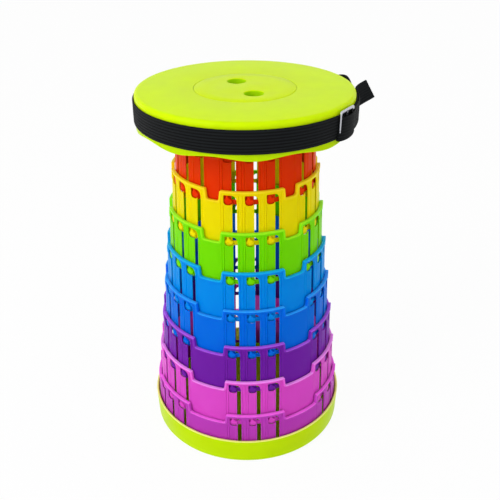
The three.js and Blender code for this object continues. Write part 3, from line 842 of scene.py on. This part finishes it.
def makeCap():
    # drawn as (x, y, up)
    pattern = newPattern()
    low, collarEnd, collarInside = -cap["plate"], -cap["collarDepth"], cap["collar"] - cap["collarWall"]
    rows = [
        (cap["radius"] - cap["round"], 0), (cap["radius"] - cap["roundMiddle"], -cap["roundMiddle"]),
        (cap["radius"], -cap["round"]), (cap["radius"], low), (cap["collar"], low),
        (cap["collar"], collarEnd), (collarInside, collarEnd), (collarInside, low),
    ]
    edges = [addLoop(pattern, [(x, y, up) for x, y in circle(radius, cap["columns"])]) for radius, up in rows]
    addBands(pattern, edges)
    turns = (cap["holeTurn"], cap["holeTurn"] + math.pi)
    tops, lows = zip(*[addFingerHole(pattern, turn, low) for turn in turns])
    addSkin(pattern, edges[0], tops, circle(cap["gridRadius"], cap["gridCount"]), lambda x, y: 0)
    addSkin(pattern, edges[-1], lows, [], None, -1)
    # the second material is the darker colour painted as shade in the finger holes
    made = buildMesh("centre_cap_body", [(pattern, seat["top"])], asDrawn, ["cap", "capSide"])
    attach(made, "seat")
    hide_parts("centre_cap")


upper = {
    "top": 446.7, "bottom": 390.6, "rim": 77.6, "wall": 2.2, "round": 0.4, "roundSteps": 3, "columns": 120,
    "tabWidth": 11, "tab": (436, 439), "tabInner": 63.5, "tabSink": 1,
}


def makeUpperRing():
    top, bottom, wall = upper["top"], upper["bottom"], upper["wall"]
    outTop, outLow = wallRadius(upper["rim"], top - bottom), wallRadius(upper["rim"], 0)
    pattern = newPattern()
    addTurned(pattern, rounded([
        (outTop - wall, top, 0, 0), (outTop, top, 0, 0),
        (outLow, bottom, upper["round"], 0), (outLow - wall, bottom, upper["round"], 0),
    ], upper["roundSteps"]), upper["columns"], closed=True)
    tab = newPattern()
    across = (-upper["tabWidth"] / 2, upper["tabWidth"] / 2)
    addBlock(tab, across, upper["tab"], (upper["tabInner"], outTop - upper["tabSink"]))
    parts = [(pattern, ("round", 0))] + [(tab, ("flat", turn)) for turn in groupTurns(0.5)]
    made = buildMesh("upper_ring_wall", parts, roundOrFlat(0), ["red"])
    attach(made, "seat")
    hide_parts("upper_ring")
    addPegs("upper_ring_pegs", "red", upper["rim"], "seat", bottom)


base = {
    "radius": 126, "draft": 1.5, "top": 34.2, "wall": 2.6, "underside": 1.5, "plate": (4.1, 5.9),
    "bevel": 1.2, "lip": 1.1, "innerLip": 0.7, "floorRound": 1.5, "underRound": 1, "heelRound": 0.5,
    "columns": 180, "roundSteps": 5, "strut": 2, "strutSink": 0.5, "hub": 14, "rise": 0.4,
    "foot": 11, "footPlace": 98, "footTop": 1.2, "bossRim": 1.4, "sides": 40,
}


def makeBase():
    inside = base["radius"] - base["wall"]
    lowInside, lowOutside = inside - base["draft"], base["radius"] - base["draft"]
    low, floor = base["plate"]
    under, root = base["underside"], low + base["rise"]
    tray = newPattern()
    addTurned(tray, rounded([
        (0, low, 0, 0), (lowInside, low, base["underRound"], 0), (lowInside, under, base["heelRound"], 0),
        # finish 1 over the lip is a lighter colour painted as a highlight
        (lowOutside, under, base["bevel"], 0), (base["radius"], base["top"], base["lip"], 1),
        (inside, base["top"], base["innerLip"], 1), (lowInside, floor, base["floorRound"], 0),
        (0, floor, 0, 0),
    ], base["roundSteps"]), base["columns"])
    strut = newPattern()
    across = (-base["strut"] / 2, base["strut"] / 2)
    addBlock(strut, across, (under, root), (base["hub"] / 2, lowInside + base["strutSink"]))
    boss = newPattern()
    addPost(boss, base["foot"] + base["bossRim"], under, root, base["footPlace"], base["sides"])
    hub = newPattern()
    addPost(hub, base["hub"], under, root, 0, base["sides"])
    parts = [(tray, ("round", 0)), (hub, ("flat", 0))]
    parts += [(strut, ("flat", turn)) for turn in groupTurns()]
    parts += [(boss, ("flat", turn)) for turn in groupTurns()]
    made = buildMesh("base_body", parts, roundOrFlat(0), ["base", "baseRim"])
    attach(made, "foundation")
    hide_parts("base")


def makeFeet():
    pad = newPattern()
    addPost(pad, base["foot"], 0, base["footTop"], base["footPlace"], base["sides"])
    for i, turn in enumerate(groupTurns(), 1):
        foot = buildMesh(f"foot_pad_{i}", [(pad, ("flat", turn))], roundOrFlat(0), ["rubber"])
        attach(foot, "foundation")
        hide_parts(f"foot_{i}")


makeSeat()
makeCap()
makeUpperRing()
makeBase()
makeFeet()
print("seat, cap, upper ring, base, feet made")


# Webbing: a ribbed band round the seat, and its end folded through the slide buckle

strap = {
    "level": 430, "width": 26, "thickness": 1.8, "radius": 126.2, "stations": 300, "smooth": 6, "sharp": 50,
    "ribs": 8, "ribDepth": 0.45, "ribPoints": 6, "ribPower": 0.6, "ribShare": 0.985, "backStep": 3,
    "slackTurn": math.radians(112), "slackSpread": math.radians(9), "slackOut": 3.2, "slackUp": 6.8,
    "foldLift": 6.6, "foldLean": math.radians(10), "foldDrop": 1.8,
    "foldShares": [  # along the buckle's half length, of the lift, and of the lean and the drop
        (-0.82, 0.02, 1), (-0.92, 0.16, 1), (-0.9, 0.5, 1), (-0.6, 0.85, 0.9), (-0.1, 1, 0.7),
        (0.45, 0.94, 0.45), (0.95, 0.7, 0.2), (1.28, 0.4, 0),
    ],
    "tailGap": 0.4, "tailTurns": (71, 77, 83, 89),
    "tailFree": [  # turn, off the wall, rise, and the way down across the webbing
        (96, 3.6, 3.5, (0.14, 0.1, -0.98)), (100.5, 22.6, 9.6, (0.48, 0.2, -0.85)),
    ],
}

buckle = {
    "turn": math.radians(56.3), "length": 31, "height": 32.2, "bar": 3, "side": 3.1, "plate": 1.8,
    "inner": 127.6, "corner": 3.2, "windowCorner": 1, "cornerSteps": 5, "edge": 0.6, "rise": 1.2,
}


def onWall(turn, radius, level):
    return Vector((radius * math.sin(turn), -radius * math.cos(turn), level))


def webSection():
    # (out, across) round the webbing, with ribs along both faces
    half, thick = strap["width"] / 2, strap["thickness"] / 2
    face = []
    count = strap["ribs"] * strap["ribPoints"]
    for i in range(count + 1):
        share = i / count
        hill = abs(math.sin(math.pi * strap["ribs"] * share)) ** strap["ribPower"]
        face.append((thick - strap["ribDepth"] * (1 - hill), half * (2 * share - 1) * strap["ribShare"]))
    back = [(-out, across) for out, across in reversed(face[::strap["backStep"]])]
    return face + [(0, half)] + back + [(0, -half)]


def addWebbing(pattern, stations):
    # stations are (middle, out, lean), and the first and last loops are left open
    section = webSection()
    gone = 0
    loops = []
    for i, (middle, out, lean) in enumerate(stations):
        if i:
            gone += (middle - stations[i - 1][0]).length
        points = [tuple(middle + out * thick - lean * across) for thick, across in section]
        loops.append(addLoop(pattern, points))
        pattern["weave"] += [(gone, across) for _, across in section]
    addBands(pattern, loops)
    return loops


def smoothed(stations, steps):
    # a smooth curve through stations of (middle, lean)
    found = []
    nothing = Vector((0, 0, 0))
    for i in range(len(stations) - 1):
        before, here = stations[max(i - 1, 0)], stations[i]
        there, after = stations[i + 1], stations[min(i + 2, len(stations) - 1)]
        for k in range(steps):
            t = k / steps
            weights = (
                (-t + 2 * t ** 2 - t ** 3) / 2, (2 - 5 * t ** 2 + 3 * t ** 3) / 2,
                (t + 4 * t ** 2 - 3 * t ** 3) / 2, (t ** 3 - t ** 2) / 2,
            )
            near = list(zip((before, here, there, after), weights))
            found.append([sum((point[side] * weight for point, weight in near), nothing) for side in (0, 1)])
    return found + [list(stations[-1])]


def bandStations():
    # once round the seat, standing off the wall where the webbing is slack
    stations = []
    for i in range(strap["stations"] + 1):
        turn = fullTurn * i / strap["stations"]
        slack = math.exp(-((turn - strap["slackTurn"]) / strap["slackSpread"]) ** 2)
        radius, level = strap["radius"] + strap["slackOut"] * slack, strap["level"] + strap["slackUp"] * slack
        stations.append((onWall(turn, radius, level), onWall(turn, 1, 0), Vector((0, 0, -1))))
    return stations


def endStations():
    # out through the buckle, over its bars, along the band and off the wall
    down = Vector((0, 0, -1))
    path = []
    for along, lift, tilt in strap["foldShares"]:
        turn = buckle["turn"] + along * buckle["length"] / 2 / strap["radius"]
        radius, level = strap["radius"] + strap["foldLift"] * lift, strap["level"] - strap["foldDrop"] * tilt
        lean, onward = strap["foldLean"] * tilt, Vector((math.cos(turn), math.sin(turn), 0))
        path.append((onWall(turn, radius, level), math.cos(lean) * down - math.sin(lean) * onward))
    second = strap["radius"] + strap["thickness"] + strap["tailGap"]
    path += [(onWall(math.radians(turn), second, strap["level"]), down) for turn in strap["tailTurns"]]
    for turn, off, rise, lean in strap["tailFree"]:
        middle = onWall(math.radians(turn), strap["radius"] + off, strap["level"] + rise)
        path.append((middle, Vector(lean).normalized()))
    fine = smoothed(path, strap["smooth"])
    stations = []
    for i, (middle, lean) in enumerate(fine):
        way = fine[min(i + 1, len(fine) - 1)][0] - fine[max(i - 1, 0)][0]
        lean = lean.normalized()
        stations.append((middle, way.cross(lean).normalized(), lean))
    return stations


def makeStrap():
    pattern = newPattern()
    addWebbing(pattern, bandStations())
    loops = addWebbing(pattern, endStations())
    addFaces(pattern, [tuple(loops[0][::-1]), tuple(loops[-1])])
    made = buildMesh("strap_webbing", [(pattern, 0)], asDrawn, ["webbing"], strap["sharp"])
    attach(made, "seat")
    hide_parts("strap")


def roundedBox(left, right, low, high, reach):
    corners = [(left, low), (right, low), (right, high), (left, high)]
    points = []
    for i, corner in enumerate(corners):
        before, after = toward(corner, corners[i - 1], reach), toward(corner, corners[(i + 1) % 4], reach)
        points += bend(before, corner, after, buckle["cornerSteps"])
    return points


def addPlateEdge(pattern, left, right, halfHeight, reach, sign):
    # the rounded edge of a plate, or with a sign of -1 of a window in it, from its front to its back
    edge, slant = buckle["edge"], buckle["edge"] * facetShare
    inner, outer = buckle["inner"], buckle["inner"] + buckle["plate"]
    levels = [
        (edge, outer), (slant, outer - slant), (0, outer - edge),
        (0, inner + edge), (slant, inner + slant), (edge, inner),
    ]
    loops = []
    for inset, out in levels:
        shift = inset * sign
        shape = roundedBox(left + shift, right - shift, shift - halfHeight, halfHeight - shift, reach)
        loops.append(addLoop(pattern, [(across, up, out) for across, up in shape]))
    addBands(pattern, loops)
    return loops[0], loops[-1]


def makeBuckle():
    pattern = newPattern()
    halfLength, halfHeight, halfBar = buckle["length"] / 2, buckle["height"] / 2, buckle["bar"] / 2
    front, back = addPlateEdge(pattern, -halfLength, halfLength, halfHeight, buckle["corner"], 1)
    opening, far = halfHeight - buckle["side"], halfLength - buckle["bar"]
    fronts, backs = zip(*[
        addPlateEdge(pattern, left, right, opening, buckle["windowCorner"], -1)
        for left, right in ((-far, -halfBar), (halfBar, far))
    ])
    addSkin(pattern, front, fronts, [], None)
    addSkin(pattern, back, backs, [], None, -1)
    lift = strap["level"] + buckle["rise"]
    made = buildMesh("buckle_frame", [(pattern, ("flat", buckle["turn"]))], roundOrFlat(lift), ["buckle"])
    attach(made, "seat")
    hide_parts("buckle")


makeStrap()
makeBuckle()
print("strap and buckle made")


# Screws keep their CAD solids

for i in range(1, groupCount + 1):
    for node in (f"seat_screw_{i}", f"base_screw_{i}"):
        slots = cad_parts[node].data.materials
        for k in range(len(slots)):
            slots[k] = finishes["screw"]


# Floor, backdrop and lights

studio = {
    "world": 0.75, "floorSize": 14, "floorTone": 0.93, "floorRough": 0.9, "floorSpecular": 0.1,
    "floorWhite": 0.94, "aim": (0, 0, 0.25),
    "lamps": [  # name, place, size and power
        ("keyLight", (-1.5, -1.2, 1.5), 1.1, 19.0), ("fillLight", (1.3, -0.9, 1.0), 1.4, 1.5),
    ],
}


def showsBackground(tree):
    # 1 for rays that see the background itself: from the camera, or by way of gloss or glass
    path = addNode(tree, "ShaderNodeLightPath")
    seen = path.outputs["Is Camera Ray"]
    for kind in ("Is Glossy Ray", "Is Transmission Ray"):
        most = addNode(tree, "ShaderNodeMath", operation="MAXIMUM")
        tree.links.new(seen, most.inputs[0])
        tree.links.new(path.outputs[kind], most.inputs[1])
        seen = most.outputs["Value"]
    return seen


def mixShaders(tree, factor, first, second, surface):
    mix = addNode(tree, "ShaderNodeMixShader")
    tree.links.new(factor, mix.inputs["Fac"])
    tree.links.new(first, mix.inputs[1])
    tree.links.new(second, mix.inputs[2])
    tree.links.new(mix.outputs["Shader"], surface)


def makeWorld():
    world = bpy.data.worlds.new("studio")
    world.use_nodes = True
    tree = world.node_tree
    light = tree.nodes["Background"]
    setSockets(light, {"Color": white, "Strength": studio["world"]})
    seen = addNode(tree, "ShaderNodeBackground", {"Color": white, "Strength": 1.0})
    surface = tree.nodes["World Output"].inputs["Surface"]
    mixShaders(tree, showsBackground(tree), light.outputs["Background"], seen.outputs["Background"], surface)
    bpy.context.scene.world = world


def makeLamps():
    for name, place, size, power in studio["lamps"]:
        lamp = bpy.data.lights.new(name, "AREA")
        lamp.size = size
        lamp.energy = power
        holder = bpy.data.objects.new(name, lamp)
        holder.location = place
        aim = Vector(studio["aim"]) - Vector(place)
        holder.rotation_euler = aim.to_track_quat("-Z", "Y").to_euler()
        bpy.context.scene.collection.objects.link(holder)


def makeFloor():
    half = studio["floorSize"] / 2
    mesh = bpy.data.meshes.new("floor")
    corners = [(-half, -half, 0), (half, -half, 0), (half, half, 0), (-half, half, 0)]
    mesh.from_pydata(corners, [], [(0, 1, 2, 3)])
    floor = bpy.data.objects.new("floor", mesh)
    bpy.context.scene.collection.objects.link(floor)
    finish, tree, shader = newMaterial("floorPaper")
    setSockets(shader, {
        "Base Color": (*[studio["floorTone"]] * 3, 1), "Roughness": studio["floorRough"],
        "Specular IOR Level": studio["floorSpecular"],
    })
    glow = addNode(tree, "ShaderNodeEmission", {"Color": white, "Strength": 1.0})
    share = addNode(tree, "ShaderNodeMath", {1: studio["floorWhite"]}, operation="MULTIPLY")
    tree.links.new(showsBackground(tree), share.inputs[0])
    surface = tree.nodes["Material Output"].inputs["Surface"]
    mixShaders(tree, share.outputs["Value"], shader.outputs["BSDF"], glow.outputs["Emission"], surface)
    mesh.materials.append(finish)


makeWorld()
makeLamps()
makeFloor()
bpy.context.scene.view_settings.view_transform = "Standard"
print("studio lit")
